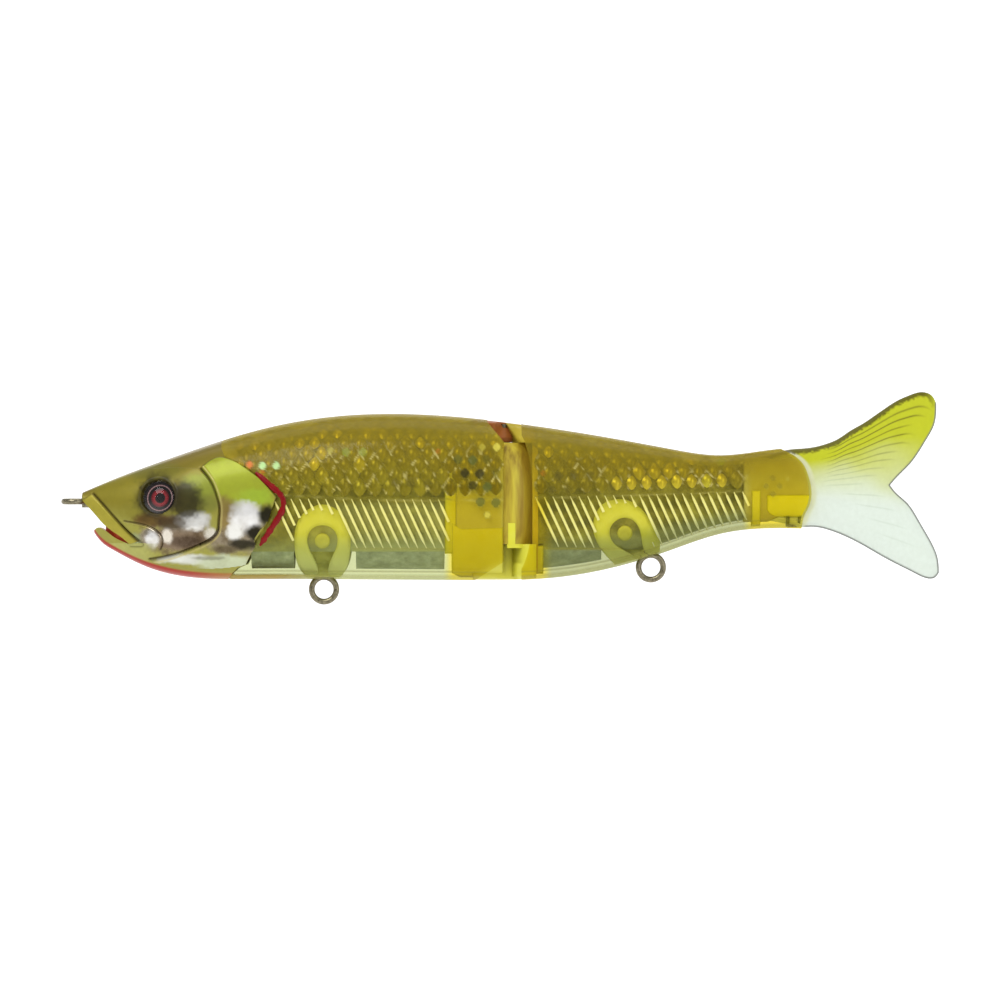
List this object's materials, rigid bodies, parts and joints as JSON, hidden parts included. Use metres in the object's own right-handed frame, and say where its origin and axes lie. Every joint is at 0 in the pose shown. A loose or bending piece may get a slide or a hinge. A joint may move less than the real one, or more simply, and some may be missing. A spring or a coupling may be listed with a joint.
{
  "type": "glide bait fishing lure",
  "caption": "Hollow two-section fish-shaped lure with a hinged middle, clear moulded shells, wire hook hangers and line tie, domed eyes and a soft forked tail.",
  "frame": {"origin": "centre of the line-tie ring in front of the nose", "axes": "+X from the nose to the tail, +Z to the back, so the belly and its hook hangers are on -Z; the seam between the half shells is the plane Y = 0"},
  "size_m": [0.1723, 0.0204, 0.0417],
  "materials": {
    "clear_shell": "polished clear amber ABS",
    "plated_head": "vacuum plated, mirror",
    "eye_print": "printed foil disc",
    "eye_resin": "clear cast resin",
    "flash_foil": "embossed foil",
    "wire": "bright stainless wire",
    "ballast": "matt",
    "soft_tail": "soft satin TPE"
  },
  "bodies": {
    "front_section": {"front_shell_left": "clear_shell", "front_shell_right": "clear_shell", "head_plate_left": "plated_head", "head_plate_right": "plated_head", "eye_iris_left": "eye_print", "eye_iris_right": "eye_print", "eye_lens_left": "eye_resin", "eye_lens_right": "eye_resin", "front_foil_left": "flash_foil", "front_foil_right": "flash_foil", "front_hook_hanger": "wire", "line_tie": "wire", "front_ballast_fore": "ballast", "front_ballast_aft": "ballast", "hinge_pin": "wire"},
    "rear_section": {"rear_shell_left": "clear_shell", "rear_shell_right": "clear_shell", "rear_foil_left": "flash_foil", "rear_foil_right": "flash_foil", "rear_hook_hanger": "wire", "rear_ballast": "ballast", "tail_pin": "wire", "tail_root": "soft_tail"},
    "tail": {"tail_blade": "soft_tail"}
  },
  "joints": [
    {"name": "body_hinge", "type": "hinge", "parent": "front_section", "child": "rear_section", "pos_m": [0.08457, 0, 0], "axis": [0, 0, 1], "range_deg": [-27, 27]},
    {"name": "tail_flex", "type": "hinge", "parent": "rear_section", "child": "tail", "pos_m": [0.14632, 0, 0.0025], "axis": [0, 0, 1], "range_deg": [-20, 20], "stiffness_Nm_per_rad": 0.02}
  ]
}
